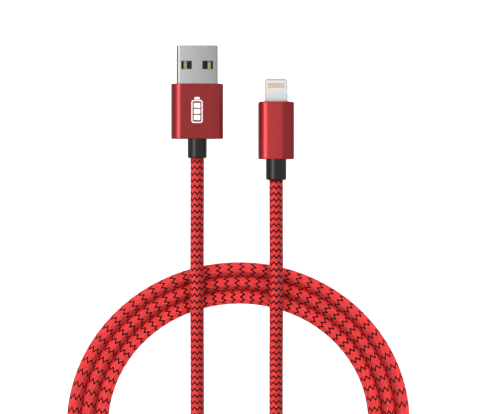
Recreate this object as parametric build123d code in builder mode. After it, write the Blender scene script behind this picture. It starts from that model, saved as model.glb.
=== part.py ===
from build123d import *
from math import cos, pi, radians, sin, tan
import os

# A braided charging cable with a USB-A plug at one end and an eight-contact phone plug at the other.
# Millimetres. The cable lies on the plane z = 0, both plugs point along +Y, and the coil lies behind
# them. The origin is under the middle of the two plugs, on the surface that they rest on.

# Where the plugs lie
USB_X = -10.25
PHONE_X = 12.85
USB_TIP_Y = 19.3
PHONE_EXIT_Y = -20.0
GAP = 0.02  # assembly clearance between pieces that fit into one another

# USB-A plug: shell, tongue and contacts follow the standard plug
SHELL_W = 12.0
SHELL_T = 4.5
SHELL_R = 0.95
SHELL_WALL = 0.3
SHELL_SHOWN = 11.2
SHELL_LENGTH = 18.8
SHELL_RIM = 0.08
WINDOW_W = 3.0
WINDOW_L = 2.3
WINDOW_RIM = 0.12
WINDOW_SPACING = 6.2
WINDOW_FROM_TIP = 5.75
SEAM_W = 0.1
TONGUE_T = 1.93
TONGUE_BACK = 0.5
BASE_FROM_TIP = 11.0
BASE_LENGTH = 7.4
USB_CONTACT_W = 0.9
USB_CONTACT_T = 0.25
USB_CONTACT_PROUD = 0.1
USB_CONTACT_FROM_TIP = 1.4
USB_CONTACT_LENGTH = 19.4
USB_CONTACT_XS = [-3.5, -1.0, 1.0, 3.5]

# USB housing: a drawn aluminium sleeve with a closed rear wall
USB_HOUSING_W = 15.2
USB_HOUSING_T = 7.0
USB_HOUSING_L = 16.05
USB_HOUSING_R = 3.2
HOUSING_WALL = 0.7
HOUSING_REAR = 1.0
HOUSING_RIM = 0.15
USB_RELIEF_D = 5.55
USB_RELIEF_L = 5.65

# Phone plug: the reversible tab, its window and its eight contacts on each face
TAB_W = 6.7
TAB_T = 1.5
TAB_SHOWN = 6.75
TAB_LENGTH = 10.15
TAB_R = 0.95
TAB_EDGE = 0.2
NOTCH_R = 0.45
NOTCH_DEPTH = 0.15
NOTCH_FROM_TIP = 3.85
PAD_WINDOW_W = 5.6
PAD_WINDOW_L = 2.95
PAD_WINDOW_R = 0.45
PAD_WINDOW_FROM_TIP = 2.0
INSERT_RECESS = 0.05
PAD_COUNT = 8
PAD_PITCH = 0.62
PAD_W = 0.34
PAD_L = 1.5
PAD_RECESS = 0.01
BOARD_W = 4.9
BOARD_T = 0.5
BOARD_LENGTH = 16.6
BOARD_FROM_TIP = 0.55
CHIP_SIZE = 2.4
CHIP_T = 0.6
CAN_W = 6.3
CAN_T = 2.6
CAN_WALL = 0.2
CAN_LENGTH = 4.8

# Phone plug housing and sleeve
PHONE_HOUSING_W = 10.5
PHONE_HOUSING_T = 6.8
PHONE_HOUSING_L = 16.8
PHONE_HOUSING_R = 3.1
PHONE_HOUSING_RIM = 0.5
PHONE_RELIEF_D = 5.95
PHONE_RELIEF_L = 6.1

# Inside both housings
MOULD_SETBACK = 0.15
CHAMBER_WALL = 0.65
FLANGE_T = 1.2
FLANGE_MARGIN = 0.6
RELIEF_ROUND = 0.5
JACKET_D = 3.0
CLAMP_D = 3.66
CLAMP_L = 1.4
CLAMP_SETBACK = 0.2
WIRE_SPREAD = 0.5
USB_WIRE_D = 0.7
PHONE_WIRE_D = 0.6

# Cord and coil
CORD_D = 4.0
LAY_Z = CORD_D / 2 + 0.02
HUMP_Z = 2 * LAY_Z + 1.5 * CORD_D
COIL_X = 2.75
COIL_Y = -91.7
COIL_HALF_X = 38.6
COIL_HALF_Y = 35.9
CORD_PITCH = 4.04
COIL_START = -50.0
COIL_SWEEP = 970.0
JOIN_GAP = 1.5
JOIN_SWEEP = 60.0
END_RUN = 9.0

usb_z = USB_HOUSING_T / 2
usb_front_y = USB_TIP_Y - SHELL_SHOWN
usb_rear_y = usb_front_y - USB_HOUSING_L
usb_exit_y = usb_rear_y - USB_RELIEF_L
shell_rear_y = USB_TIP_Y - SHELL_LENGTH
usb_tail_y = USB_TIP_Y - USB_CONTACT_FROM_TIP - USB_CONTACT_LENGTH

phone_z = PHONE_HOUSING_T / 2
phone_rear_y = PHONE_EXIT_Y + PHONE_RELIEF_L
phone_front_y = phone_rear_y + PHONE_HOUSING_L
phone_tip_y = phone_front_y + TAB_SHOWN
tab_rear_y = phone_tip_y - TAB_LENGTH
pad_y = phone_tip_y - PAD_WINDOW_FROM_TIP
board_rear_y = phone_tip_y - BOARD_FROM_TIP - BOARD_LENGTH

os.makedirs("parts", exist_ok=True)


def usb_plane(y):
    """Section plane of the USB plug: local x is +X, local y is +Z, and it faces the cord."""
    return Plane(origin=(USB_X, y, usb_z), x_dir=(1, 0, 0), z_dir=(0, -1, 0))


def phone_plane(y):
    """Section plane of the phone plug, laid out as for the USB plug."""
    return Plane(origin=(PHONE_X, y, phone_z), x_dir=(1, 0, 0), z_dir=(0, -1, 0))


# ---------------------------------------------------------------- USB plug, front end

shell_inner_w = SHELL_W - 2 * SHELL_WALL
shell_inner_t = SHELL_T - 2 * SHELL_WALL
shell_inner_r = SHELL_R - SHELL_WALL

with BuildPart() as usb_shell:
    with BuildSketch(usb_plane(USB_TIP_Y)):
        RectangleRounded(SHELL_W, SHELL_T, SHELL_R)
        RectangleRounded(shell_inner_w, shell_inner_t, shell_inner_r, mode=Mode.SUBTRACT)
    extrude(amount=SHELL_LENGTH)
    chamfer(usb_shell.edges().group_by(Axis.Y)[-1], SHELL_RIM)
    # Two latch windows in the top and two in the bottom
    with BuildSketch(Plane((USB_X, USB_TIP_Y - WINDOW_FROM_TIP, 0))):
        with GridLocations(WINDOW_SPACING, 0, 2, 1):
            Rectangle(WINDOW_W, WINDOW_L)
    extrude(amount=USB_HOUSING_T, mode=Mode.SUBTRACT)
    # The upper windows have an eased rim
    top_face = usb_shell.faces().filter_by(Axis.Z).sort_by(Axis.Z)[-1]
    chamfer([wire.edges() for wire in top_face.inner_wires()], WINDOW_RIM)
    # Seam where the folded sheet meets, along the middle of the underside
    with BuildSketch(usb_plane(USB_TIP_Y)):
        with Locations((0, -SHELL_T / 2)):
            Rectangle(SEAM_W, 2.5 * SHELL_WALL)
    extrude(amount=SHELL_LENGTH, mode=Mode.SUBTRACT)
usb_shell.part.label = "usb_shell"
export_step(usb_shell.part, "parts/usb_shell.step")

tongue_w = shell_inner_w - 2 * GAP
tongue_bottom = -shell_inner_t / 2 + GAP
tongue_top = tongue_bottom + TONGUE_T
usb_contact_z = tongue_top + USB_CONTACT_PROUD - USB_CONTACT_T / 2

with BuildPart() as usb_insulator:
    with BuildSketch(usb_plane(USB_TIP_Y - BASE_FROM_TIP)):
        RectangleRounded(tongue_w, shell_inner_t - 2 * GAP, shell_inner_r)
    extrude(amount=BASE_LENGTH)
    with BuildSketch(usb_plane(USB_TIP_Y - TONGUE_BACK)):
        with Locations((0, tongue_bottom + TONGUE_T / 2)):
            RectangleRounded(tongue_w, TONGUE_T, shell_inner_r)
    extrude(amount=BASE_FROM_TIP - TONGUE_BACK)
    # Grooves that hold the four contacts, running on as slots through the base
    with BuildSketch(usb_plane(USB_TIP_Y - USB_CONTACT_FROM_TIP + GAP)):
        with Locations(*[(x, usb_contact_z) for x in USB_CONTACT_XS]):
            Rectangle(USB_CONTACT_W + 2 * GAP, USB_CONTACT_T + 2 * GAP)
    extrude(amount=USB_CONTACT_LENGTH, mode=Mode.SUBTRACT)
usb_insulator.part.label = "usb_insulator"
export_step(usb_insulator.part, "parts/usb_insulator.step")

for number, contact_x in enumerate(USB_CONTACT_XS, start=1):
    with BuildPart() as usb_contact:
        with BuildSketch(usb_plane(USB_TIP_Y - USB_CONTACT_FROM_TIP)):
            with Locations((contact_x, usb_contact_z)):
                Rectangle(USB_CONTACT_W, USB_CONTACT_T)
        extrude(amount=USB_CONTACT_LENGTH)
        front_face = usb_contact.faces().sort_by(Axis.Y)[-1]
        chamfer(front_face.edges().sort_by(Axis.Z)[-1], USB_CONTACT_T / 2)
    usb_contact.part.label = f"usb_contact_{number}"
    export_step(usb_contact.part, f"parts/usb_contact_{number}.step")

# ---------------------------------------------------------------- USB plug, body

usb_cavity_w = USB_HOUSING_W - 2 * HOUSING_WALL
usb_cavity_t = USB_HOUSING_T - 2 * HOUSING_WALL
usb_cavity_r = USB_HOUSING_R - HOUSING_WALL
usb_wall_y = usb_rear_y + HOUSING_REAR
usb_flange_y = usb_wall_y + FLANGE_T
usb_mould_rear_y = usb_flange_y + GAP
usb_jacket_y = usb_mould_rear_y + CLAMP_L + 2 * CLAMP_SETBACK

with BuildPart() as usb_housing:
    with BuildSketch(usb_plane(usb_front_y)):
        RectangleRounded(USB_HOUSING_W, USB_HOUSING_T, USB_HOUSING_R)
    extrude(amount=USB_HOUSING_L)
    chamfer(usb_housing.edges().group_by(Axis.Y)[-1], HOUSING_RIM)
    chamfer(usb_housing.edges().group_by(Axis.Y)[0], HOUSING_RIM)
    with BuildSketch(usb_plane(usb_front_y)):
        RectangleRounded(usb_cavity_w, usb_cavity_t, usb_cavity_r)
    extrude(amount=USB_HOUSING_L - HOUSING_REAR, mode=Mode.SUBTRACT)
    with BuildSketch(usb_plane(usb_wall_y)):
        Circle(USB_RELIEF_D / 2 + GAP)
    extrude(amount=HOUSING_REAR, mode=Mode.SUBTRACT)
usb_housing.part.label = "usb_housing"
export_step(usb_housing.part, "parts/usb_housing.step")

with BuildPart() as usb_inner_mould:
    with BuildSketch(usb_plane(usb_front_y - MOULD_SETBACK)):
        RectangleRounded(usb_cavity_w - 2 * GAP, usb_cavity_t - 2 * GAP, usb_cavity_r - GAP)
    extrude(amount=usb_front_y - MOULD_SETBACK - usb_mould_rear_y)
    # The shell is held in the front of the moulding
    with BuildSketch(usb_plane(usb_front_y)):
        RectangleRounded(SHELL_W + 2 * GAP, SHELL_T + 2 * GAP, SHELL_R + GAP)
    extrude(amount=usb_front_y - shell_rear_y + GAP, mode=Mode.SUBTRACT)
    # The chamber behind it takes the contact tails, the wires and the clamp
    with BuildSketch(usb_plane(shell_rear_y)):
        RectangleRounded(usb_cavity_w - 6 * CHAMBER_WALL, usb_cavity_t - 2 * CHAMBER_WALL, SHELL_R)
    extrude(amount=shell_rear_y - usb_mould_rear_y, mode=Mode.SUBTRACT)
usb_inner_mould.part.label = "usb_inner_mould"
export_step(usb_inner_mould.part, "parts/usb_inner_mould.step")

with BuildPart() as usb_strain_relief:
    with BuildSketch(usb_plane(usb_flange_y)):
        RectangleRounded(
            usb_cavity_w - FLANGE_MARGIN, usb_cavity_t - FLANGE_MARGIN, usb_cavity_r - FLANGE_MARGIN / 2
        )
    extrude(amount=FLANGE_T)
    with BuildSketch(usb_plane(usb_wall_y)):
        Circle(USB_RELIEF_D / 2)
    extrude(amount=HOUSING_REAR + USB_RELIEF_L)
    fillet(usb_strain_relief.edges().group_by(Axis.Y)[0], RELIEF_ROUND)
    with BuildSketch(usb_plane(usb_flange_y)):
        Circle(JACKET_D / 2 + GAP)
    extrude(amount=usb_flange_y - usb_exit_y, mode=Mode.SUBTRACT)
usb_strain_relief.part.label = "usb_strain_relief"
export_step(usb_strain_relief.part, "parts/usb_strain_relief.step")

with BuildPart() as usb_inner_jacket:
    with BuildSketch(usb_plane(usb_jacket_y)):
        Circle(JACKET_D / 2)
    extrude(amount=usb_jacket_y - usb_exit_y)
usb_inner_jacket.part.label = "usb_inner_jacket"
export_step(usb_inner_jacket.part, "parts/usb_inner_jacket.step")

with BuildPart() as usb_cord_clamp:
    with BuildSketch(usb_plane(usb_jacket_y - CLAMP_SETBACK)):
        Circle(CLAMP_D / 2)
        Circle(JACKET_D / 2 + GAP, mode=Mode.SUBTRACT)
    extrude(amount=CLAMP_L)
usb_cord_clamp.part.label = "usb_cord_clamp"
export_step(usb_cord_clamp.part, "parts/usb_cord_clamp.step")


def wire_path(centre_x, centre_z, bundle, jacket_y, landing, landing_y, tail_length):
    """Corner points of a wire, from its place in the bundle to the pad or tail that it lands on."""
    bundle_x = centre_x + bundle[0]
    bundle_z = centre_z + bundle[1]
    landing_x = centre_x + landing[0]
    landing_z = centre_z + landing[1]
    return [
        (bundle_x, jacket_y, bundle_z),
        (bundle_x, jacket_y + tail_length / 2, bundle_z),
        (landing_x, landing_y, landing_z),
        (landing_x, landing_y + tail_length, landing_z),
    ]


# Wire colours in the usual order of the contacts: power, the two data lines and ground
USB_WIRES = {
    "usb_wire_red": (-WIRE_SPREAD, -WIRE_SPREAD, USB_CONTACT_XS[0]),
    "usb_wire_white": (-WIRE_SPREAD, WIRE_SPREAD, USB_CONTACT_XS[1]),
    "usb_wire_green": (WIRE_SPREAD, WIRE_SPREAD, USB_CONTACT_XS[2]),
    "usb_wire_black": (WIRE_SPREAD, -WIRE_SPREAD, USB_CONTACT_XS[3]),
}
usb_wire_z = usb_contact_z + USB_CONTACT_T / 2 + USB_WIRE_D / 2 + GAP
usb_landing_y = usb_tail_y - 0.4

for name, (bundle_x, bundle_z, contact_x) in USB_WIRES.items():
    corners = wire_path(
        USB_X, usb_z, (bundle_x, bundle_z), usb_jacket_y, (contact_x, usb_wire_z), usb_landing_y, 1.6
    )
    with BuildPart() as usb_wire:
        with BuildLine():
            FilletPolyline(*corners, radius=0.6)
        with BuildSketch(Plane(origin=corners[0], x_dir=(1, 0, 0), z_dir=(0, 1, 0))):
            Circle(USB_WIRE_D / 2)
        sweep()
    usb_wire.part.label = name
    export_step(usb_wire.part, f"parts/{name}.step")

# ---------------------------------------------------------------- phone plug, front end

with BuildPart() as phone_tab:
    with BuildSketch(Plane((PHONE_X, phone_tip_y - TAB_LENGTH / 2, phone_z - TAB_T / 2))) as tab_outline:
        Rectangle(TAB_W, TAB_LENGTH)
        fillet(tab_outline.vertices().group_by(Axis.Y)[-1], TAB_R)
        # Retention notches in both edges
        with Locations(*[(side * (TAB_W / 2 + NOTCH_R - NOTCH_DEPTH), TAB_LENGTH / 2 - NOTCH_FROM_TIP)
                         for side in (-1, 1)]):
            Circle(NOTCH_R, mode=Mode.SUBTRACT)
    extrude(amount=TAB_T)
    rim = phone_tab.faces().filter_by(Axis.Z).edges()
    fillet(rim, TAB_EDGE)
    # Window for the contact insert, through both faces
    with BuildSketch(Plane((PHONE_X, pad_y, phone_z - TAB_T / 2))):
        RectangleRounded(PAD_WINDOW_W, PAD_WINDOW_L, PAD_WINDOW_R)
    extrude(amount=TAB_T, mode=Mode.SUBTRACT)
    # Slot for the board, from the window to the rear
    with BuildSketch(phone_plane(pad_y)):
        Rectangle(BOARD_W + 4 * GAP, BOARD_T + 2 * GAP)
    extrude(amount=pad_y - tab_rear_y, mode=Mode.SUBTRACT)
phone_tab.part.label = "phone_tab"
export_step(phone_tab.part, "parts/phone_tab.step")

insert_t = TAB_T - 2 * INSERT_RECESS
pad_xs = [PAD_PITCH * (index - (PAD_COUNT - 1) / 2) for index in range(PAD_COUNT)]

with BuildPart() as phone_insulator:
    with BuildSketch(Plane((PHONE_X, pad_y, phone_z - insert_t / 2))):
        RectangleRounded(PAD_WINDOW_W - 2 * GAP, PAD_WINDOW_L - 2 * GAP, PAD_WINDOW_R - GAP)
    extrude(amount=insert_t)
    with BuildSketch(phone_plane(phone_tip_y - BOARD_FROM_TIP + GAP)):
        Rectangle(BOARD_W + 2 * GAP, BOARD_T + 2 * GAP)
    extrude(amount=PAD_WINDOW_L, mode=Mode.SUBTRACT)
    # Pockets for the contacts, through to the board from each face
    with BuildSketch(Plane((PHONE_X, pad_y, phone_z - insert_t / 2))):
        with Locations(*[(x, 0) for x in pad_xs]):
            Rectangle(PAD_W + 2 * GAP, PAD_L + 2 * GAP)
    extrude(amount=insert_t, mode=Mode.SUBTRACT)
phone_insulator.part.label = "phone_insulator"
export_step(phone_insulator.part, "parts/phone_insulator.step")

pad_t = TAB_T / 2 - PAD_RECESS - BOARD_T / 2 - GAP
pad_levels = {
    "top": phone_z + BOARD_T / 2 + GAP,
    "bottom": phone_z - BOARD_T / 2 - GAP - pad_t,
}

for face_name, pad_z in pad_levels.items():
    for number, pad_x in enumerate(pad_xs, start=1):
        with BuildPart() as phone_contact:
            with BuildSketch(Plane((PHONE_X + pad_x, pad_y, pad_z))):
                Rectangle(PAD_W, PAD_L)
            extrude(amount=pad_t)
        phone_contact.part.label = f"phone_contact_{face_name}_{number}"
        export_step(phone_contact.part, f"parts/phone_contact_{face_name}_{number}.step")

with BuildPart() as phone_board:
    with BuildSketch(phone_plane(phone_tip_y - BOARD_FROM_TIP)):
        Rectangle(BOARD_W, BOARD_T)
    extrude(amount=BOARD_LENGTH)
phone_board.part.label = "phone_board"
export_step(phone_board.part, "parts/phone_board.step")

can_front_y = tab_rear_y - 0.2
can_middle_y = can_front_y - CAN_LENGTH / 2

with BuildPart() as phone_chip:
    with BuildSketch(Plane((PHONE_X, can_middle_y, phone_z + BOARD_T / 2 + GAP))):
        Rectangle(CHIP_SIZE, CHIP_SIZE)
    extrude(amount=CHIP_T)
    chamfer(phone_chip.faces().sort_by(Axis.Z)[-1].edges(), CHIP_T / 6)
phone_chip.part.label = "phone_chip"
export_step(phone_chip.part, "parts/phone_chip.step")

with BuildPart() as phone_shield_can:
    with BuildSketch(phone_plane(can_front_y)):
        RectangleRounded(CAN_W, CAN_T, 2 * CAN_WALL)
        RectangleRounded(CAN_W - 2 * CAN_WALL, CAN_T - 2 * CAN_WALL, CAN_WALL, mode=Mode.SUBTRACT)
    extrude(amount=CAN_LENGTH)
phone_shield_can.part.label = "phone_shield_can"
export_step(phone_shield_can.part, "parts/phone_shield_can.step")

# ---------------------------------------------------------------- phone plug, body

phone_cavity_w = PHONE_HOUSING_W - 2 * HOUSING_WALL
phone_cavity_t = PHONE_HOUSING_T - 2 * HOUSING_WALL
phone_cavity_r = PHONE_HOUSING_R - HOUSING_WALL
phone_wall_y = phone_rear_y + HOUSING_REAR
phone_flange_y = phone_wall_y + FLANGE_T
phone_mould_rear_y = phone_flange_y + GAP
phone_jacket_y = phone_mould_rear_y + CLAMP_L + 2 * CLAMP_SETBACK

with BuildPart() as phone_housing:
    with BuildSketch(phone_plane(phone_front_y)):
        RectangleRounded(PHONE_HOUSING_W, PHONE_HOUSING_T, PHONE_HOUSING_R)
    extrude(amount=PHONE_HOUSING_L)
    fillet(phone_housing.edges().group_by(Axis.Y)[-1], PHONE_HOUSING_RIM)
    chamfer(phone_housing.edges().group_by(Axis.Y)[0], HOUSING_RIM)
    with BuildSketch(phone_plane(phone_front_y)):
        RectangleRounded(phone_cavity_w, phone_cavity_t, phone_cavity_r)
    extrude(amount=PHONE_HOUSING_L - HOUSING_REAR, mode=Mode.SUBTRACT)
    with BuildSketch(phone_plane(phone_wall_y)):
        Circle(PHONE_RELIEF_D / 2 + GAP)
    extrude(amount=HOUSING_REAR, mode=Mode.SUBTRACT)
phone_housing.part.label = "phone_housing"
export_step(phone_housing.part, "parts/phone_housing.step")

with BuildPart() as phone_inner_mould:
    with BuildSketch(phone_plane(phone_front_y - MOULD_SETBACK)):
        RectangleRounded(phone_cavity_w - 2 * GAP, phone_cavity_t - 2 * GAP, phone_cavity_r - GAP)
    extrude(amount=phone_front_y - MOULD_SETBACK - phone_mould_rear_y)
    with BuildSketch(phone_plane(phone_front_y)):
        Rectangle(TAB_W + 2 * GAP, TAB_T + 2 * GAP)
    extrude(amount=phone_front_y - tab_rear_y + GAP, mode=Mode.SUBTRACT)
    with BuildSketch(phone_plane(tab_rear_y)):
        RectangleRounded(phone_cavity_w - 3 * CHAMBER_WALL, CLAMP_D + 2 * GAP, SHELL_R)
    extrude(amount=tab_rear_y - phone_mould_rear_y, mode=Mode.SUBTRACT)
phone_inner_mould.part.label = "phone_inner_mould"
export_step(phone_inner_mould.part, "parts/phone_inner_mould.step")

with BuildPart() as phone_strain_relief:
    with BuildSketch(phone_plane(phone_flange_y)):
        RectangleRounded(
            phone_cavity_w - FLANGE_MARGIN, phone_cavity_t - FLANGE_MARGIN, phone_cavity_r - FLANGE_MARGIN / 2
        )
    extrude(amount=FLANGE_T)
    with BuildSketch(phone_plane(phone_wall_y)):
        Circle(PHONE_RELIEF_D / 2)
    extrude(amount=HOUSING_REAR + PHONE_RELIEF_L)
    fillet(phone_strain_relief.edges().group_by(Axis.Y)[0], RELIEF_ROUND)
    with BuildSketch(phone_plane(phone_flange_y)):
        Circle(JACKET_D / 2 + GAP)
    extrude(amount=phone_flange_y - PHONE_EXIT_Y, mode=Mode.SUBTRACT)
phone_strain_relief.part.label = "phone_strain_relief"
export_step(phone_strain_relief.part, "parts/phone_strain_relief.step")

with BuildPart() as phone_inner_jacket:
    with BuildSketch(phone_plane(phone_jacket_y)):
        Circle(JACKET_D / 2)
    extrude(amount=phone_jacket_y - PHONE_EXIT_Y)
phone_inner_jacket.part.label = "phone_inner_jacket"
export_step(phone_inner_jacket.part, "parts/phone_inner_jacket.step")

with BuildPart() as phone_cord_clamp:
    with BuildSketch(phone_plane(phone_jacket_y - CLAMP_SETBACK)):
        Circle(CLAMP_D / 2)
        Circle(JACKET_D / 2 + GAP, mode=Mode.SUBTRACT)
    extrude(amount=CLAMP_L)
phone_cord_clamp.part.label = "phone_cord_clamp"
export_step(phone_cord_clamp.part, "parts/phone_cord_clamp.step")

# Two wires land on the top of the board and two on its underside
PHONE_WIRES = {
    "phone_wire_red": (-WIRE_SPREAD, WIRE_SPREAD, -1.4, 1),
    "phone_wire_white": (WIRE_SPREAD, WIRE_SPREAD, 1.4, 1),
    "phone_wire_green": (WIRE_SPREAD, -WIRE_SPREAD, 1.4, -1),
    "phone_wire_black": (-WIRE_SPREAD, -WIRE_SPREAD, -1.4, -1),
}
phone_wire_z = BOARD_T / 2 + PHONE_WIRE_D / 2 + GAP
phone_landing_y = board_rear_y - 0.4

for name, (bundle_x, bundle_z, landing_x, side) in PHONE_WIRES.items():
    corners = wire_path(
        PHONE_X, phone_z, (bundle_x, bundle_z), phone_jacket_y,
        (landing_x, side * phone_wire_z), phone_landing_y, 1.2
    )
    with BuildPart() as phone_wire:
        with BuildLine():
            FilletPolyline(*corners, radius=0.5)
        with BuildSketch(Plane(origin=corners[0], x_dir=(1, 0, 0), z_dir=(0, 1, 0))):
            Circle(PHONE_WIRE_D / 2)
        sweep()
    phone_wire.part.label = name
    export_step(phone_wire.part, f"parts/{name}.step")

# ---------------------------------------------------------------- cord

# The cord leaves the USB sleeve, runs over the top of the coil and turns onto its innermost track.
USB_ROUTE = [
    (USB_X, usb_exit_y, usb_z),
    (USB_X, -26.5, usb_z),
    (USB_X, -41.0, HUMP_Z),
    (USB_X, -60.5, HUMP_Z),
    (USB_X, -77.0, 4.2),
    (USB_X, -97.0, LAY_Z),
    (USB_X, -109.7, LAY_Z),
    (-6.2, -118.3, LAY_Z),
    (1.4, -124.2, LAY_Z),
    (10.7, -126.2, LAY_Z),
]

# From the outermost track it climbs, crosses the coil and the other lead, and runs to the phone plug.
PHONE_ROUTE = [
    (-32.1, -125.9, 4.6),
    (-21.6, -133.5, HUMP_Z),
    (-11.6, -137.1, HUMP_Z),
    (-1.0, -135.7, HUMP_Z),
    (7.8, -129.6, HUMP_Z),
    (PHONE_X, -120.1, HUMP_Z),
    (PHONE_X, -108.0, 8.0),
    (PHONE_X, -93.0, LAY_Z),
    (PHONE_X, -75.0, LAY_Z),
    (PHONE_X, -60.5, HUMP_Z),
    (PHONE_X, -42.5, HUMP_Z),
    (PHONE_X, -31.0, phone_z),
    (PHONE_X, PHONE_EXIT_Y, phone_z),
]


def coil_point(turned, side=0.0):
    """A point of the flat coil: degrees turned from its inner end, and mm outside the cord's centre."""
    joining = max(0.0, 1.0 - turned / JOIN_SWEEP)
    growth = CORD_PITCH * turned / 360 + side - JOIN_GAP * joining**2
    heading = radians(COIL_START + turned)
    return (COIL_X + (COIL_HALF_X + growth) * cos(heading), COIL_Y + (COIL_HALF_Y + growth) * sin(heading))


def across_end(turned, length):
    """Where a straight run of this length starts or ends that meets the coil's end face square on."""
    x, y = coil_point(turned)
    heading = radians(COIL_START + turned + 90)
    return (x + length * cos(heading), y + length * sin(heading), LAY_Z)


def bend_radii(points):
    """Radius of the arc at each corner: 0.45 of the shorter run over the tangent of half the turn."""
    corners = [Vector(*point) for point in points]
    radii = []
    for before, corner, after in zip(corners, corners[1:], corners[2:]):
        arriving = corner - before
        leaving = after - corner
        half_turn = radians(arriving.get_angle(leaving)) / 2
        radii.append(0.45 * min(arriving.length, leaving.length) / tan(half_turn))
    return radii


def report_cord(name, radii, line, volume):
    """Print a cord's bend radii and its volume beside its section times its length, and return the length."""
    length = sum(edge.length for edge in line.edges())
    print(name, "radii", [round(radius, 1) for radius in radii], "length", round(length, 1))
    print(name, "volume", round(volume, 1), "section x length", round(pi * CORD_D**2 / 4 * length, 1))
    return length


usb_points = USB_ROUTE + [across_end(0, -END_RUN), across_end(0, 0)]
usb_radii = bend_radii(usb_points)
with BuildPart() as cord_lead_usb:
    with BuildLine() as usb_line:
        FilletPolyline(*usb_points, radius=usb_radii)
    with BuildSketch(usb_plane(usb_exit_y)):
        Circle(CORD_D / 2)
    sweep()
usb_length = report_cord("cord_lead_usb", usb_radii, usb_line, cord_lead_usb.part.volume)
cord_lead_usb.part.label = "cord_lead_usb"
export_step(cord_lead_usb.part, "parts/cord_lead_usb.step")

phone_points = [across_end(COIL_SWEEP, 0), across_end(COIL_SWEEP, END_RUN)] + PHONE_ROUTE
phone_radii = bend_radii(phone_points)
with BuildPart() as cord_lead_phone:
    with BuildLine() as phone_line:
        FilletPolyline(*phone_points, radius=phone_radii)
    with BuildSketch(Plane(origin=phone_points[0], z_dir=Vector(*phone_points[1]) - Vector(*phone_points[0]))):
        Circle(CORD_D / 2)
    sweep()
phone_length = report_cord("cord_lead_phone", phone_radii, phone_line, cord_lead_phone.part.volume)
cord_lead_phone.part.label = "cord_lead_phone"
export_step(cord_lead_phone.part, "parts/cord_lead_phone.step")

# The coil's turns lie side by side: one flat band, stepped where each lead leaves it
STEPS = 36
inner_edge = [coil_point(360 * step / STEPS, -CORD_PITCH / 2) for step in range(STEPS + 1)]
outer_edge = [
    coil_point(COIL_SWEEP - 360 + 360 * step / STEPS, CORD_PITCH / 2) for step in range(STEPS + 1)
]
with BuildPart() as cord_coil:
    with BuildSketch():
        with BuildLine():
            Spline(*outer_edge)
            Line(outer_edge[-1], outer_edge[0])
        make_face()
        with BuildLine():
            Spline(*inner_edge)
            Line(inner_edge[-1], inner_edge[0])
        make_face(mode=Mode.SUBTRACT)
    extrude(amount=2 * LAY_Z)
cord_coil.part.label = "cord_coil"
export_step(cord_coil.part, "parts/cord_coil.step")

turn_steps = [coil_point(COIL_SWEEP * step / 720) for step in range(721)]
coil_length = sum((Vector(*b) - Vector(*a)).length for a, b in zip(turn_steps, turn_steps[1:]))
print("cord in the coil", round(coil_length, 1))
print("whole cord", round(coil_length + usb_length + phone_length, 1))
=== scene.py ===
from math import cos, pi, radians, sin

import bmesh
import bpy
import numpy as np
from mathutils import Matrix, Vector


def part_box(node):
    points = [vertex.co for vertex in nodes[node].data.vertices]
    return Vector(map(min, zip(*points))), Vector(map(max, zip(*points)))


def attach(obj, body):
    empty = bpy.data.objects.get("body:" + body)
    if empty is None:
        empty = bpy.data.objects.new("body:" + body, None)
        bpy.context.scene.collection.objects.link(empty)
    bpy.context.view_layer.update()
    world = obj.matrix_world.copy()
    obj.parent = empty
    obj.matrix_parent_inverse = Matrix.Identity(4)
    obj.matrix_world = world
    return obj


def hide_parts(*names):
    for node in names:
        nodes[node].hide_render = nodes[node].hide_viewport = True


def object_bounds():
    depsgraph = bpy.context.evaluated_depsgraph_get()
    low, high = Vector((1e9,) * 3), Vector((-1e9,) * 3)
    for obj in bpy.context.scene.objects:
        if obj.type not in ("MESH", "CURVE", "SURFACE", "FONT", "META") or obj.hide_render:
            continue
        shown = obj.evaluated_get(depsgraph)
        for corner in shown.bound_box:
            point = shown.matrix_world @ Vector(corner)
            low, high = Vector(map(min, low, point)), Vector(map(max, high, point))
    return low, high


# A red braided charging cable, lying coiled on a white ground under soft studio light.
# Everything is in metres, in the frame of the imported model: both plugs point along +Y.

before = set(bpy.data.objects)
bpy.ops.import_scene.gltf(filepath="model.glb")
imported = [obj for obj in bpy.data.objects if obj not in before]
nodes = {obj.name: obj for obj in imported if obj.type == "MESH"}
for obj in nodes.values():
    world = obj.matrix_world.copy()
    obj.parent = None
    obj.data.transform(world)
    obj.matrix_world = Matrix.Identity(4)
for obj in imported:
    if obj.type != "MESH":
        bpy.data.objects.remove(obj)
cad_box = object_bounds()

# ---------------------------------------------------------------- camera

VIEW_WIDTH = 0.1405    # what the camera takes in at the height of the plugs
VIEW_X = 0.00227
VIEW_Y = -0.0279
PLUG_Z = 0.0035
LENS = 200.0
SENSOR = 36.0
CLIP_END = 20.0

camera_data = bpy.data.cameras.new("camera")
camera_data.lens = LENS
camera_data.sensor_width = SENSOR
camera_data.clip_end = CLIP_END
camera = bpy.data.objects.new("camera", camera_data)
camera.location = (VIEW_X, VIEW_Y, PLUG_Z + VIEW_WIDTH * LENS / SENSOR)
bpy.context.collection.objects.link(camera)
bpy.context.scene.camera = camera

# ---------------------------------------------------------------- cord route

USB_X = -0.01025
PHONE_X = 0.01285
LAY_Z = 0.00206        # middle of a cord that lies on the ground
TOP_Z = 0.0064         # control points of a hump, a little above a cord that lies on another

COIL_X = 0.00275
COIL_Y = -0.0917
COIL_HALF_X = 0.0386   # half sizes of the innermost turn, to the middle of the cord
COIL_HALF_Y = 0.0359
CORD_PITCH = 0.00404   # from turn to turn
COIL_START = -50.0     # degrees
COIL_SWEEP = 970.0
COIL_POINTS = 48
JOIN_GAP = 0.0015      # how far inside its turn the coil starts, and the degrees over which this is made up
JOIN_SWEEP = 60.0
END_RUN = 0.009        # straight on at each end of the coil
ROUTE_STEPS = 30       # points to each span of the spline

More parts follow.
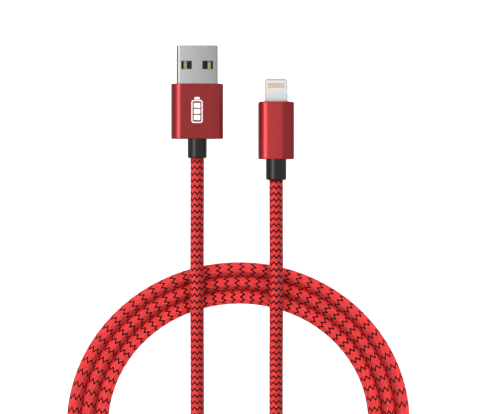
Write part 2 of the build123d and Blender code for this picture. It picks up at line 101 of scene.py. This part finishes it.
USB_ROUTE = [
    (USB_X, -0.0136, 0.0035),
    (USB_X, -0.0265, 0.0036),
    (USB_X, -0.0410, TOP_Z),
    (USB_X, -0.0605, TOP_Z),
    (USB_X, -0.0770, 0.0030),
    (USB_X, -0.0970, LAY_Z),
    (USB_X, -0.1097, LAY_Z),
    (-0.0062, -0.1183, LAY_Z),
    (0.0014, -0.1242, LAY_Z),
    (0.0107, -0.1262, LAY_Z),
]

PHONE_ROUTE = [
    (-0.0321, -0.1259, 0.0039),
    (-0.0216, -0.1335, TOP_Z),
    (-0.0116, -0.1371, TOP_Z),
    (-0.0010, -0.1357, TOP_Z),
    (0.0078, -0.1296, TOP_Z),
    (PHONE_X, -0.1201, TOP_Z),
    (PHONE_X, -0.1080, 0.0046),
    (PHONE_X, -0.0930, LAY_Z),
    (PHONE_X, -0.0750, LAY_Z),
    (PHONE_X, -0.0605, TOP_Z),
    (PHONE_X, -0.0425, TOP_Z),
    (PHONE_X, -0.0310, 0.0037),
    (PHONE_X, -0.0200, 0.0034),
]


def coil_point(turned, spread=1.0):
    """A point of the flat coil, degrees turned from its inner end."""
    joining = max(0.0, 1.0 - turned / JOIN_SWEEP)
    growth = CORD_PITCH * turned / 360 - JOIN_GAP * joining**2
    heading = radians(COIL_START + turned)
    x = COIL_X + (COIL_HALF_X + growth) * spread * cos(heading)
    y = COIL_Y + (COIL_HALF_Y + growth) * spread * sin(heading)
    return (x, y, LAY_Z)


def across_end(turned, length):
    """A point straight on from one of the coil's ends, this far from it."""
    x, y, z = coil_point(turned)
    heading = radians(COIL_START + turned + 90)
    return (x + length * cos(heading), y + length * sin(heading), z)


# Control points lie outside the turns that their spline makes
coil_step = COIL_SWEEP / COIL_POINTS
coil_spread = 1 / cos(radians(coil_step / 2))
coil_route = [coil_point(coil_step * (index + 0.5), coil_spread) for index in range(COIL_POINTS)]
coil_route = [across_end(0, -END_RUN)] + coil_route + [across_end(COIL_SWEEP, END_RUN)]
route = USB_ROUTE + coil_route + PHONE_ROUTE

route_curve = bpy.data.curves.new("cord_route", "CURVE")
route_curve.dimensions = "3D"
route_curve.resolution_u = ROUTE_STEPS
spline = route_curve.splines.new("NURBS")
spline.points.add(len(route) - 1)
for point, position in zip(spline.points, route):
    point.co = (*position, 1.0)
spline.order_u = 3
spline.use_endpoint_u = True
route_object = bpy.data.objects.new("cord_route", route_curve)
bpy.context.collection.objects.link(route_object)
route_mesh = bpy.data.meshes.new_from_object(route_object)
line = np.array([vertex.co[:] for vertex in route_mesh.vertices])
bpy.data.meshes.remove(route_mesh)
bpy.data.objects.remove(route_object)

along = np.concatenate([[0.0], np.cumsum(np.linalg.norm(np.diff(line, axis=0), axis=1))])
cord_length = along[-1]
forward = np.gradient(line, along, axis=0)


def on_cord(distance, angle, radius):
    """Points on a round cord: metres along it, angle from its outer side, where 90 is up, and radius.

    Past the ends it runs straight on.
    """
    centre = np.stack([np.interp(distance, along, line[:, axis]) for axis in range(3)], axis=-1)
    ahead = np.stack([np.interp(distance, along, forward[:, axis]) for axis in range(3)], axis=-1)
    ahead /= np.linalg.norm(ahead, axis=-1, keepdims=True)
    past_end = distance - np.clip(distance, 0.0, cord_length)
    centre = centre + past_end[..., None] * ahead
    side = np.cross(ahead, (0.0, 0.0, 1.0))
    side /= np.linalg.norm(side, axis=-1, keepdims=True)
    up = np.cross(side, ahead)
    turn = np.radians(angle)[..., None]
    return centre + radius[..., None] * (np.cos(turn) * side + np.sin(turn) * up)


# ---------------------------------------------------------------- braid

ZIGZAGS = 8            # round the cord
SEGMENTS = 4 * ZIGZAGS
FINE_POINTS = 20001    # places along the cord where the braid's sizes are worked out

LEAD_REPEAT = 0.00186  # from one black line to the next
FIRST_LINE = 0.00104
LEAD_SWING = 0.00045   # half the height of a zigzag
LEAD_TRACER = 0.00064  # width of a black line along the cord
LEAD_ROWS = 2          # rows of red yarn between two black lines
COIL_REPEAT = 0.0704   # as a share of the turn's half width, before the two changes below
SIDE_STRETCH = 0.159   # how much longer the repeat is at the sides of the coil than at its top
LEFT_SHRINK = 0.043    # how much shorter it is at the left than at the right
COIL_SWING = 0.205     # as a share of the repeat
COIL_TRACER = 0.00078
COIL_ROWS = 3

# Where the leads' braid starts to change to the coil's and where it has changed, from the cord's two ends
USB_CHANGE = (0.094, 0.149)
PHONE_CHANGE = (0.0968, 0.1668)
PHONE_TWIST = (0.095, 0.165)

YARN_TOP = 0.002       # radius at the middle of a row of yarn, and at its edges
YARN_CREASE = 0.00197
YARN_EDGE = 0.00001    # how far each yarn dips where it goes under another
TRACER_TOP = 0.002005
TRACER_FOOT = 0.00196
COIL_SQUEEZE = 0.00006  # how much thicker the cord is in the coil, where its turns press against one another
PAST_END = 0.0015      # how far the zigzags run past the cord's ends before they are cut
LEAD_ROOM = 0.004      # more than a lead's radius, and less than the way to the other lead

LEAD_PAINTED_SHADE = 0.45        # how much darker the painted shade makes the dark side, and where across the cord it starts and ends
LEAD_DIM_FROM = -0.45
LEAD_DIM_TO = 0.3
COIL_PAINTED_SHADE = 0.42
COIL_DIM_FROM = -0.3
COIL_DIM_TO = 0.5
INNER_PAINTED_SHADE = 0.12       # the innermost turn has only a little of this painted shade
MOUTH_DEPTH = 0.0006   # painted shadow: the yarn is darker this far out of a sleeve
# Where along the cord the innermost turn gives way to the next
INNER_TURN_END = (0.36, 0.44)


def smooth_step(value, start, end):
    """0 before the start, 1 after the end, and an easy rise between them."""
    share = np.clip((value - start) / (end - start), 0.0, 1.0)
    return share * share * (3 - 2 * share)


def between(first, second, share):
    return first + (second - first) * share


fine = np.linspace(0.0, cord_length, FINE_POINTS)
fine_x = (np.interp(fine, along, line[:, 0]) - COIL_X) / COIL_HALF_X
fine_y = (np.interp(fine, along, line[:, 1]) - COIL_Y) / COIL_HALF_Y
fine_reach = np.hypot(fine_x, fine_y)
coiled = smooth_step(fine, *USB_CHANGE) * smooth_step(cord_length - fine, *PHONE_CHANGE)
sideways = fine_x / fine_reach
coil_repeat = COIL_REPEAT * COIL_HALF_X * fine_reach * (1 + SIDE_STRETCH * sideways**4)
coil_repeat *= 1 - LEFT_SHRINK * (1 - sideways) / 2
repeat = between(LEAD_REPEAT, coil_repeat, coiled)
swing = between(LEAD_SWING, COIL_SWING * coil_repeat, coiled)
tracer_width = between(LEAD_TRACER, COIL_TRACER, coiled)
squeeze = COIL_SQUEEZE * coiled
count = np.concatenate([[0.0], np.cumsum(np.diff(fine) / repeat[:-1])])
count -= np.interp(FIRST_LINE, fine, count)
# The phone lead's zigzags point the other way, so the cord turns by half a zigzag before it
twist = 180 / ZIGZAGS * (1 - smooth_step(cord_length - fine, *PHONE_TWIST))

segment = np.arange(SEGMENTS)
zigzag = 4 * np.abs(segment * ZIGZAGS / SEGMENTS % 1 - 0.5) - 1
yarn_edge = np.where(segment % 2 == 0, YARN_EDGE, 0.0)


def braid_ring(position, radius, offset=0.0):
    """One closed zigzag ring at this place along the cord: its points and their angles."""
    distance = position + np.interp(position, fine, swing) * zigzag + offset
    angle = 90 + segment * 360 / SEGMENTS + np.interp(position, fine, twist)
    return on_cord(distance, angle, radius + np.interp(position, fine, squeeze) - yarn_edge), angle


line_places = np.interp(np.arange(round(count[-1]) + 1), count, fine)
line_starts = line_places - np.interp(line_places, fine, tracer_width) / 2
line_ends = line_places + np.interp(line_places, fine, tracer_width) / 2

# Rows of yarn, each from its start to its end: the black lines, and between them the rows of red. The first
# and the last run past the ends, and are cut off there
rows = [(-PAST_END, line_starts[0] / 2, YARN_TOP), (line_starts[0] / 2, line_starts[0], YARN_TOP)]
for number, place in enumerate(line_places[:-1]):
    rows.append((line_starts[number], line_ends[number], YARN_CREASE))
    red_rows = COIL_ROWS if np.interp(place, fine, coiled) > 0.5 else LEAD_ROWS
    edges = np.linspace(line_ends[number], line_starts[number + 1], red_rows + 1)
    rows += [(start, end, YARN_TOP) for start, end in zip(edges, edges[1:])]
rows.append((line_starts[-1], line_ends[-1], YARN_CREASE))
rows.append((line_ends[-1], cord_length + PAST_END, YARN_TOP))

# Two rings for each row: along its middle, and the crease at its far side
ring_places = [-PAST_END]
ring_radii = [YARN_CREASE]
for start, end, top in rows:
    ring_places += [(start + end) / 2, end]
    ring_radii += [top, YARN_CREASE]
ring_rows = [index / 2 for index in range(len(ring_places))]


def cut_at_mouths(mesh):
    """Cuts a mesh off flat at the sleeves' mouths, where the cord starts and ends, and closes it there."""
    build = bmesh.new()
    build.from_mesh(mesh)
    for mouth in (USB_ROUTE[0], PHONE_ROUTE[-1]):
        verts = [vertex for vertex in build.verts if abs(vertex.co.x - mouth[0]) < LEAD_ROOM]
        near = set(verts)
        edges = [edge for edge in build.edges if near.issuperset(edge.verts)]
        faces = [face for face in build.faces if near.issuperset(face.verts)]
        cut = bmesh.ops.bisect_plane(
            build, geom=verts + edges + faces, dist=1e-7, plane_co=mouth, plane_no=(0.0, 1.0, 0.0),
            clear_outer=True
        )["geom_cut"]
        bmesh.ops.edgeloop_fill(build, edges=[part for part in cut if isinstance(part, bmesh.types.BMEdge)])
    build.to_mesh(mesh)
    build.free()


def tube_mesh(name, rings, row_values):
    """A mesh of rings joined in order, with a UV map of the yarns: across in u and along in v."""
    faces = []
    coordinates = []
    for ring in range(len(rings) - 1):
        base = ring * SEGMENTS
        next_base = base + SEGMENTS
        here, ahead = row_values[ring:ring + 2]
        for index in range(SEGMENTS):
            beside = (index + 1) % SEGMENTS
            faces.append((base + index, next_base + index, next_base + beside, base + beside))
            coordinates += [index / 2, here, index / 2, ahead, (index + 1) / 2, ahead, (index + 1) / 2, here]
    mesh = bpy.data.meshes.new(name)
    mesh.from_pydata(np.concatenate(rings).tolist(), [], faces)
    uv_map = mesh.uv_layers.new(name="yarn")
    uv_map.data.foreach_set("uv", coordinates)
    mesh.polygons.foreach_set("use_smooth", [True] * len(mesh.polygons))
    return mesh


# Painted shade: each strand is darker on one side, the leads on the right and the coil's turns on the inner
# side
rings = []
shades = []
for place, radius in zip(ring_places, ring_radii):
    points, angle = braid_ring(place, radius)
    rings.append(points)
    winding = np.interp(place, fine, coiled)
    coil_painted_shade = between(INNER_PAINTED_SHADE, COIL_PAINTED_SHADE, smooth_step(place, *INNER_TURN_END))
    rightward = (points[:, 0] - points[:, 0].mean()) / radius
    inward = -np.cos(np.radians(angle))
    dim_from = between(LEAD_DIM_FROM, COIL_DIM_FROM, winding)
    dim_to = between(LEAD_DIM_TO, COIL_DIM_TO, winding)
    painted_dim = smooth_step(between(rightward, inward, winding), dim_from, dim_to)
    # Painted shadow of the sleeve just out of each mouth
    mouth = smooth_step(min(place, cord_length - place), -MOUTH_DEPTH, MOUTH_DEPTH)
    shades.append((1 - between(LEAD_PAINTED_SHADE, coil_painted_shade, winding) * painted_dim) * mouth)
braid_mesh = tube_mesh("cord_braid", rings, ring_rows)
shade = braid_mesh.attributes.new("shade", "FLOAT", "POINT")
shade.data.foreach_set("value", np.concatenate(shades))
cut_at_mouths(braid_mesh)
cord_braid = bpy.data.objects.new("cord_braid", braid_mesh)
bpy.context.collection.objects.link(cord_braid)

# The black tracer yarns, each a closed zigzag round the cord
tracer_mesh = bpy.data.meshes.new("cord_tracer")
tracer_rings = []
tracer_faces = []
for number, place in enumerate(line_places):
    half = np.interp(place, fine, tracer_width) / 2
    profile = ((-half, TRACER_FOOT), (0.0, TRACER_TOP), (half, TRACER_FOOT))
    base = number * len(profile) * SEGMENTS
    for offset, radius in profile:
        points, _ = braid_ring(place, radius, offset)
        tracer_rings.append(points)
    for side in range(len(profile)):
        here = base + side * SEGMENTS
        ahead = base + (side + 1) % len(profile) * SEGMENTS
        for index in range(SEGMENTS):
            beside = (index + 1) % SEGMENTS
            tracer_faces.append((here + index, ahead + index, ahead + beside, here + beside))
tracer_mesh.from_pydata(np.concatenate(tracer_rings).tolist(), [], tracer_faces)
tracer_mesh.polygons.foreach_set("use_smooth", [True] * len(tracer_mesh.polygons))
cut_at_mouths(tracer_mesh)
cord_tracer = bpy.data.objects.new("cord_tracer", tracer_mesh)
bpy.context.collection.objects.link(cord_tracer)

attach(cord_braid, "root")
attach(cord_tracer, "root")
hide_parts("cord_lead_usb", "cord_coil", "cord_lead_phone")

# ---------------------------------------------------------------- materials


def add(tree, kind, inputs=None, **settings):
    """A shader node with its settings, and its inputs as values or as links from other nodes."""
    made = tree.nodes.new(kind)
    for name, value in settings.items():
        setattr(made, name, value)
    for name, value in (inputs or {}).items():
        if isinstance(value, bpy.types.NodeSocket):
            tree.links.new(value, made.inputs[name])
        else:
            made.inputs[name].default_value = value
    return made


def maths(tree, operation, first, second=0.0):
    """The result of one mathematical operation."""
    return add(tree, "ShaderNodeMath", {0: first, 1: second}, operation=operation).outputs[0]


def mixed(tree, share, first, second):
    """The first colour mixed with this share of the second."""
    # The Mix node's inputs 6 and 7 and its output 2 are its colours
    return add(tree, "ShaderNodeMix", {0: share, 6: first, 7: second}, data_type="RGBA").outputs[2]


def ranged(tree, value, low, high, new_low, new_high):
    """A value carried from one range to another."""
    return add(tree, "ShaderNodeMapRange", {
        "Value": value, "From Min": low, "From Max": high, "To Min": new_low, "To Max": new_high,
    }).outputs[0]


def opaque(colour):
    return (*colour, 1.0)


def folded(tree, value):
    """0 halfway between whole numbers and 1 at each of them."""
    centred = maths(tree, "SUBTRACT", maths(tree, "FRACT", value), 0.5)
    return maths(tree, "MULTIPLY", maths(tree, "ABSOLUTE", centred), 2.0)


def new_material(name):
    """A new node material, its tree and its surface shader."""
    material = bpy.data.materials.new(name)
    material.use_nodes = True
    return material, material.node_tree, material.node_tree.nodes["Principled BSDF"]


def noise(tree, scale, detail=2.0, stretch=(1.0, 1.0, 1.0)):
    """Noise fixed to the object, with this many features to the metre, times stretch along each axis."""
    place = add(tree, "ShaderNodeTexCoord").outputs["Object"]
    mapping = add(tree, "ShaderNodeMapping", {"Vector": place, "Scale": stretch})
    return add(tree, "ShaderNodeTexNoise", {
        "Vector": mapping.outputs[0], "Scale": scale, "Detail": detail,
    }).outputs["Fac"]


NOISE_LOW = 0.3        # most values of a noise node lie between these
NOISE_HIGH = 0.7
SLOW_CHANGE = 260.0    # features to the metre of a finish's slow change in colour
ROUGHNESS_SPREAD = 0.15


def surface(name, colour, roughness, metallic=0.0, grain=8000.0, depth=0.02, spread=0.08,
            stretch=(1.0, 1.0, 1.0), coat=0.0, specular=0.5, painted_shade_ramps=()):
    """A finish with a fine grain in its height and roughness and a slow change in its colour.

    grain is in features to the metre and depth in millimetres, and spread is the share by which the colour
    changes. The last argument paints shade over the object: each entry is an axis, where it starts and ends,
    and its shares of brightness there.
    """
    material, tree, shader = new_material(name)
    slow = noise(tree, SLOW_CHANGE)
    fine_grain = noise(tree, grain, 3.0, stretch)
    dark = opaque([channel * (1 - spread) for channel in colour])
    light = opaque([min(1.0, channel * (1 + spread)) for channel in colour])
    finish = mixed(tree, slow, dark, light)
    place = add(tree, "ShaderNodeTexCoord").outputs["Object"]
    place_parts = add(tree, "ShaderNodeSeparateXYZ", {0: place}).outputs
    # Painted shade: the colour is darkened over each given range of the object
    for axis, start, end, first_share, last_share in painted_shade_ramps:
        share = ranged(tree, place_parts[axis], start, end, first_share, last_share)
        finish = mixed(tree, share, opaque((0.0, 0.0, 0.0)), finish)
    tree.links.new(finish, shader.inputs["Base Color"])
    smoothest = roughness * (1 - ROUGHNESS_SPREAD)
    roughest = roughness * (1 + ROUGHNESS_SPREAD)
    rough = ranged(tree, fine_grain, NOISE_LOW, NOISE_HIGH, smoothest, roughest)
    tree.links.new(rough, shader.inputs["Roughness"])
    bump = add(tree, "ShaderNodeBump", {"Height": fine_grain, "Strength": 0.35, "Distance": depth * 0.001})
    tree.links.new(bump.outputs[0], shader.inputs["Normal"])
    shader.inputs["Metallic"].default_value = metallic
    shader.inputs["Coat Weight"].default_value = coat
    shader.inputs["Coat Roughness"].default_value = 0.2
    shader.inputs["Specular IOR Level"].default_value = specular
    return material


BRAID_RED = (0.95, 0.04, 0.042)
BRAID_SHEEN = (1.0, 0.25, 0.25)
CREASE_SHADE_SHARE = 0.32    # brightness of the painted shade in the creases between rows
CROSSING_SHADE_DEPTH = 0.7   # how deep the painted shade is at the crossings between yarns beside the creases
FILAMENTS_ACROSS = 0.7  # features to a yarn's width, and to a row's height
FILAMENTS_ALONG = 7.0


def braid_material():
    """Glossy red yarn: fine filaments along each row, with painted shade in the rows' creases and crossings
    and a painted sheen on every other yarn.
    """
    material, tree, shader = new_material("braid_red")
    yarn = add(tree, "ShaderNodeUVMap", uv_map="yarn").outputs[0]
    across, row, _ = add(tree, "ShaderNodeSeparateXYZ", {0: yarn}).outputs
    filament_place = add(tree, "ShaderNodeCombineXYZ", {
        0: maths(tree, "MULTIPLY", across, FILAMENTS_ACROSS),
        1: maths(tree, "MULTIPLY", row, FILAMENTS_ALONG),
    }).outputs[0]
    filaments = add(tree, "ShaderNodeTexNoise", {
        "Vector": filament_place, "Scale": 1.0, "Detail": 2.0, "Roughness": 0.6,
    }).outputs["Fac"]
    bundle = add(tree, "ShaderNodeCombineXYZ", {
        0: maths(tree, "FLOOR", across), 1: maths(tree, "FLOOR", row),
    }).outputs[0]
    each_bundle = add(tree, "ShaderNodeTexWhiteNoise", {"Vector": bundle}).outputs["Value"]
    # Painted shade, deepest in the creases between rows, and where a yarn goes under its neighbour
    crease_shade = ranged(tree, folded(tree, row), 0.45, 1.0, 0.0, 1.0)
    crossing_shade = ranged(tree, folded(tree, across), 0.7, 1.0, 0.0, CROSSING_SHADE_DEPTH)
    depth = maths(tree, "MAXIMUM", crease_shade, crossing_shade)
    # Painted sheen: a yarn leaning one way is coloured a little brighter than its neighbour, as if it caught
    # more light
    leaning_sheen = maths(tree, "MODULO", maths(tree, "FLOOR", across), 2.0)
    brightness = ranged(tree, depth, 0.0, 1.0, 1.0, CREASE_SHADE_SHARE)
    for share in (
        ranged(tree, filaments, NOISE_LOW, NOISE_HIGH, 0.86, 1.08),
        ranged(tree, each_bundle, 0.0, 1.0, 0.84, 1.2),
        ranged(tree, leaning_sheen, 0.0, 1.0, 1.08, 0.9),
        add(tree, "ShaderNodeAttribute", attribute_name="shade").outputs["Fac"],
    ):
        brightness = maths(tree, "MULTIPLY", brightness, share)
    colour = mixed(tree, brightness, opaque((0.0, 0.0, 0.0)), opaque(BRAID_RED))
    tree.links.new(colour, shader.inputs["Base Color"])
    shader.inputs["Roughness"].default_value = 0.55
    shader.inputs["Specular IOR Level"].default_value = 0.3
    shader.inputs["Sheen Weight"].default_value = 0.15
    shader.inputs["Sheen Roughness"].default_value = 0.4
    shader.inputs["Sheen Tint"].default_value = opaque(BRAID_SHEEN)
    bump = add(tree, "ShaderNodeBump", {"Height": filaments, "Strength": 0.5, "Distance": 0.00004})
    tree.links.new(bump.outputs[0], shader.inputs["Normal"])
    return material


braid_mesh.materials.append(braid_material())
tracer_mesh.materials.append(
    surface("tracer_black", (0.01, 0.002, 0.002), 0.8, grain=6000.0, depth=0.03, specular=0.05)
)

usb_anodised = surface(
    "anodised_red_usb", (0.50, 0.060, 0.064), 0.28, metallic=1.0, grain=9000.0, depth=0.012
)
# Painted shade: the phone housing is darker on its rounded sides than on its flat top, and a little darker
# across the top towards the right
phone_anodised = surface(
    "anodised_red_phone", (0.80, 0.084, 0.088), 0.28, metallic=1.0, grain=9000.0, depth=0.012,
    painted_shade_ramps=[
        (0, PHONE_X - 0.0032, PHONE_X - 0.0023, 0.78, 1.0),
        (0, PHONE_X - 0.0023, PHONE_X + 0.0015, 1.0, 0.9),
        (0, PHONE_X + 0.0015, PHONE_X + 0.0021, 1.0, 0.64),
    ]
)
# Brushed from front to back, with painted shade: darker down its left edge and towards its right
shell_steel = surface(
    "shell_steel", (0.95, 0.95, 0.96), 0.25, metallic=1.0, grain=3000.0, depth=0.006, spread=0.03,
    stretch=(1.0, 0.06, 1.0),
    painted_shade_ramps=[(0, USB_X - 0.0055, USB_X + 0.0060, 0.98, 0.64), (0, USB_X - 0.0054, USB_X - 0.0051, 0.42, 1.0)]
)
# Painted shade: darker at its sides, at the foot where the housing casts shade on it, and at its tip
tab_steel = surface(
    "tab_steel", (0.84, 0.84, 0.845), 0.3, metallic=0.55, grain=5000.0, depth=0.004, spread=0.02,
    painted_shade_ramps=[
        (0, PHONE_X - 0.0033, PHONE_X - 0.0029, 0.5, 1.0), (0, PHONE_X + 0.0029, PHONE_X + 0.0033, 1.0, 0.6),
        (1, 0.0030, 0.0037, 0.75, 1.0), (1, 0.0090, 0.0094, 1.0, 0.6),
    ]
)
phone_gold = surface(
    "phone_gold", (0.70, 0.40, 0.12), 0.3, metallic=0.3, grain=6000.0, depth=0.004, spread=0.05
)
usb_gold = surface("usb_gold", (0.80, 0.64, 0.34), 0.3, metallic=0.6, grain=6000.0, depth=0.004, spread=0.05)
insert_white = surface("insert_white", (0.64, 0.64, 0.65), 0.4, grain=4000.0, depth=0.006, spread=0.02)
sleeve_black = surface(
    "sleeve_black", (0.003, 0.003, 0.0032), 0.27, grain=7000.0, depth=0.02, spread=0.15, specular=0.55
)
tongue_black = surface("tongue_black", (0.02, 0.02, 0.022), 0.5, grain=7000.0, depth=0.02)
mould_black = surface("mould_black", (0.03, 0.03, 0.033), 0.55, grain=5000.0, depth=0.03)
board_green = surface("board_green", (0.04, 0.2, 0.1), 0.35, grain=3000.0, depth=0.01, coat=0.3)
chip_black = surface("chip_black", (0.02, 0.02, 0.02), 0.5, grain=9000.0, depth=0.01)
can_steel = surface("can_steel", (0.6, 0.6, 0.6), 0.35, metallic=1.0, grain=3000.0, depth=0.01)
jacket_grey = surface("jacket_grey", (0.2, 0.2, 0.21), 0.5, grain=4000.0, depth=0.02)
wire_colours = {
    "red": (0.55, 0.02, 0.02),
    "white": (0.8, 0.8, 0.8),
    "green": (0.03, 0.3, 0.08),
    "black": (0.015, 0.015, 0.015),
}

node_materials = {
    "usb_shell": shell_steel,
    "usb_insulator": tongue_black,
    "usb_housing": usb_anodised,
    "usb_inner_mould": mould_black,
    "usb_strain_relief": sleeve_black,
    "usb_inner_jacket": jacket_grey,
    "usb_cord_clamp": can_steel,
    "phone_tab": tab_steel,
    "phone_insulator": insert_white,
    "phone_board": board_green,
    "phone_chip": chip_black,
    "phone_shield_can": can_steel,
    "phone_housing": phone_anodised,
    "phone_inner_mould": mould_black,
    "phone_strain_relief": sleeve_black,
    "phone_inner_jacket": jacket_grey,
    "phone_cord_clamp": can_steel,
}
for name in nodes:
    if "contact" in name:
        node_materials[name] = usb_gold if name.startswith("usb") else phone_gold
for colour_name, colour in wire_colours.items():
    wire = surface(f"wire_{colour_name}", colour, 0.4, grain=5000.0, depth=0.01)
    node_materials[f"usb_wire_{colour_name}"] = wire
    node_materials[f"phone_wire_{colour_name}"] = wire
for name, material in node_materials.items():
    nodes[name].material_slots[0].material = material

# ---------------------------------------------------------------- battery mark on the USB housing

MARK_WIDTH = 0.0033
MARK_LENGTH = 0.0067
MARK_STROKE = 0.00034
MARK_HEIGHT = 0.00003
MARK_FROM_FRONT = 0.0048
MARK_RADIUS = 0.0007
HOLE_RADIUS = 0.0004
CAP_WIDTH = 0.0016
CAP_LENGTH = 0.0007
CAP_RADIUS = 0.0002
CAP_RISE = 0.0005      # from the front of the battery's body to the middle of its cap
BARS = 3
BAR_RADIUS = 0.0001

housing_low, housing_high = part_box("usb_housing")
mark_x = (housing_low[0] + housing_high[0]) / 2
mark_front = housing_high[1] - MARK_FROM_FRONT


def rounded_outline(width, length, radius, steps=6):
    """A rectangle with round corners round the origin, as points in order."""
    points = []
    for corner in range(4):
        centre_x = (width / 2 - radius) * (1 if corner in (0, 3) else -1)
        centre_y = (length / 2 - radius) * (1 if corner in (0, 1) else -1)
        for step in range(steps + 1):
            turn = radians(90 * corner + 90 * step / steps)
            points.append((centre_x + radius * cos(turn), centre_y + radius * sin(turn)))
    return points


def add_plate(mark, outline, hole=None):
    """A thin printed shape on the housing's top face, solid or with a hole of as many points."""
    levels = (housing_high[2], housing_high[2] + MARK_HEIGHT)
    loops = []
    for edge in (outline, hole) if hole else (outline,):
        loops.append([[mark.verts.new((x, y, level)) for x, y in edge] for level in levels])
    for number, (bottom, top) in enumerate(loops):
        for index in range(len(bottom)):
            beside = (index + 1) % len(bottom)
            wall = (bottom[index], bottom[beside], top[beside], top[index])
            mark.faces.new(wall if number == 0 else wall[::-1])
    for level in (0, 1):
        outer = loops[0][level]
        if hole:
            inner = loops[1][level]
            for index in range(len(outer)):
                beside = (index + 1) % len(outer)
                piece = (outer[index], outer[beside], inner[beside], inner[index])
                mark.faces.new(piece if level else piece[::-1])
        else:
            mark.faces.new(outer if level else outer[::-1])


def placed(points, centre_y):
    """Points moved to the middle of the mark and to this place along it."""
    return [(mark_x + x, centre_y + y) for x, y in points]


mark_build = bmesh.new()
body_y = mark_front - MARK_LENGTH / 2
add_plate(
    mark_build,
    placed(rounded_outline(MARK_WIDTH, MARK_LENGTH, MARK_RADIUS), body_y),
    placed(rounded_outline(MARK_WIDTH - 2 * MARK_STROKE, MARK_LENGTH - 2 * MARK_STROKE, HOLE_RADIUS), body_y),
)
add_plate(mark_build, placed(rounded_outline(CAP_WIDTH, CAP_LENGTH, CAP_RADIUS), mark_front + CAP_RISE))
bar_width = MARK_WIDTH - 4 * MARK_STROKE
bar_room = MARK_LENGTH - 4 * MARK_STROKE
bar_step = bar_room / BARS
for bar in range(BARS):
    bar_y = body_y - bar_room / 2 + bar_step * (bar + 0.5)
    add_plate(mark_build, placed(rounded_outline(bar_width, bar_step - MARK_STROKE, BAR_RADIUS), bar_y))
mark_mesh = bpy.data.meshes.new("battery_mark")
mark_build.to_mesh(mark_mesh)
mark_build.free()
battery_mark = bpy.data.objects.new("battery_mark", mark_mesh)
bpy.context.collection.objects.link(battery_mark)
mark_mesh.materials.append(
    surface("mark_white", (0.83, 0.82, 0.82), 0.5, grain=6000.0, depth=0.01, spread=0.02)
)
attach(battery_mark, "root")

# ---------------------------------------------------------------- ground, backdrop and lights


def glow(name, strength, base=0.8):
    """A white surface that gives some light of its own."""
    material, _, shader = new_material(name)
    shader.inputs["Base Color"].default_value = (base, base, base, 1.0)
    shader.inputs["Roughness"].default_value = 0.9
    shader.inputs["Emission Color"].default_value = (1.0, 1.0, 1.0, 1.0)
    shader.inputs["Emission Strength"].default_value = strength
    return material


GROUND_HALF = 4.0
BACKDROP_RADIUS = 6.0

ground_mesh = bpy.data.meshes.new("ground")
ground_corners = [
    (x * GROUND_HALF, y * GROUND_HALF, cad_box[0][2]) for x, y in ((-1, -1), (1, -1), (1, 1), (-1, 1))
]
ground_mesh.from_pydata(ground_corners, [], [(0, 1, 2, 3)])
ground = bpy.data.objects.new("ground", ground_mesh)
bpy.context.collection.objects.link(ground)
ground_mesh.materials.append(glow("ground_white", 0.75))
ground.visible_glossy = False

backdrop_build = bmesh.new()
bmesh.ops.create_icosphere(backdrop_build, subdivisions=3, radius=BACKDROP_RADIUS)
backdrop_mesh = bpy.data.meshes.new("backdrop")
backdrop_build.to_mesh(backdrop_mesh)
backdrop_build.free()
backdrop = bpy.data.objects.new("backdrop", backdrop_mesh)
bpy.context.collection.objects.link(backdrop)
backdrop_mesh.materials.append(glow("backdrop_white", 1.0, base=0.0))
backdrop.visible_diffuse = False
backdrop.visible_glossy = False
backdrop.visible_shadow = False


def soft_box(name, tilt, heading, distance, width, length, radiance, glossy=True):
    """A rectangular light that faces the cable from this tilt off the vertical and heading from +X."""
    light = bpy.data.lights.new(name, "AREA")
    light.shape = "RECTANGLE"
    light.size = width
    light.size_y = length
    light.energy = radiance * pi * width * length
    lamp = bpy.data.objects.new(name, light)
    lamp.rotation_euler = (0.0, radians(tilt), radians(heading))
    reach = distance * sin(radians(tilt))
    height = distance * cos(radians(tilt))
    lamp.location = (
        VIEW_X + reach * cos(radians(heading)), VIEW_Y + reach * sin(radians(heading)), height
    )
    lamp.visible_camera = False
    lamp.visible_glossy = glossy
    bpy.context.collection.objects.link(lamp)


# The strip on the left makes the bright line along each plug. The others only fill
soft_box("strip_left", 39, 180, 1.0, 0.46, 1.6, 2.3)
soft_box("fill_right", 39, 0, 1.0, 0.46, 1.6, 2.1, glossy=False)
soft_box("fill_above", 0, 0, 1.3, 1.0, 1.0, 0.75, glossy=False)
soft_box("box_far", 52, 90, 1.2, 0.6, 0.5, 1.5, glossy=False)
soft_box("box_near", 52, 270, 1.2, 0.6, 0.5, 1.0, glossy=False)

WORLD_BELOW = 0.38     # strength of the light from below the horizon and from above it
WORLD_ABOVE = 0.55

world = bpy.data.worlds.new("studio")
world.use_nodes = True
bpy.context.scene.world = world
world_tree = world.node_tree
direction = add(world_tree, "ShaderNodeTexCoord").outputs["Generated"]
upward = add(world_tree, "ShaderNodeSeparateXYZ", {0: direction}).outputs[2]
world_shader = world_tree.nodes["Background"]
strength = ranged(world_tree, upward, -0.2, 0.1, WORLD_BELOW, WORLD_ABOVE)
world_tree.links.new(strength, world_shader.inputs["Strength"])
world_shader.inputs["Color"].default_value = (1.0, 1.0, 1.0, 1.0)

bpy.context.scene.view_settings.view_transform = "Standard"
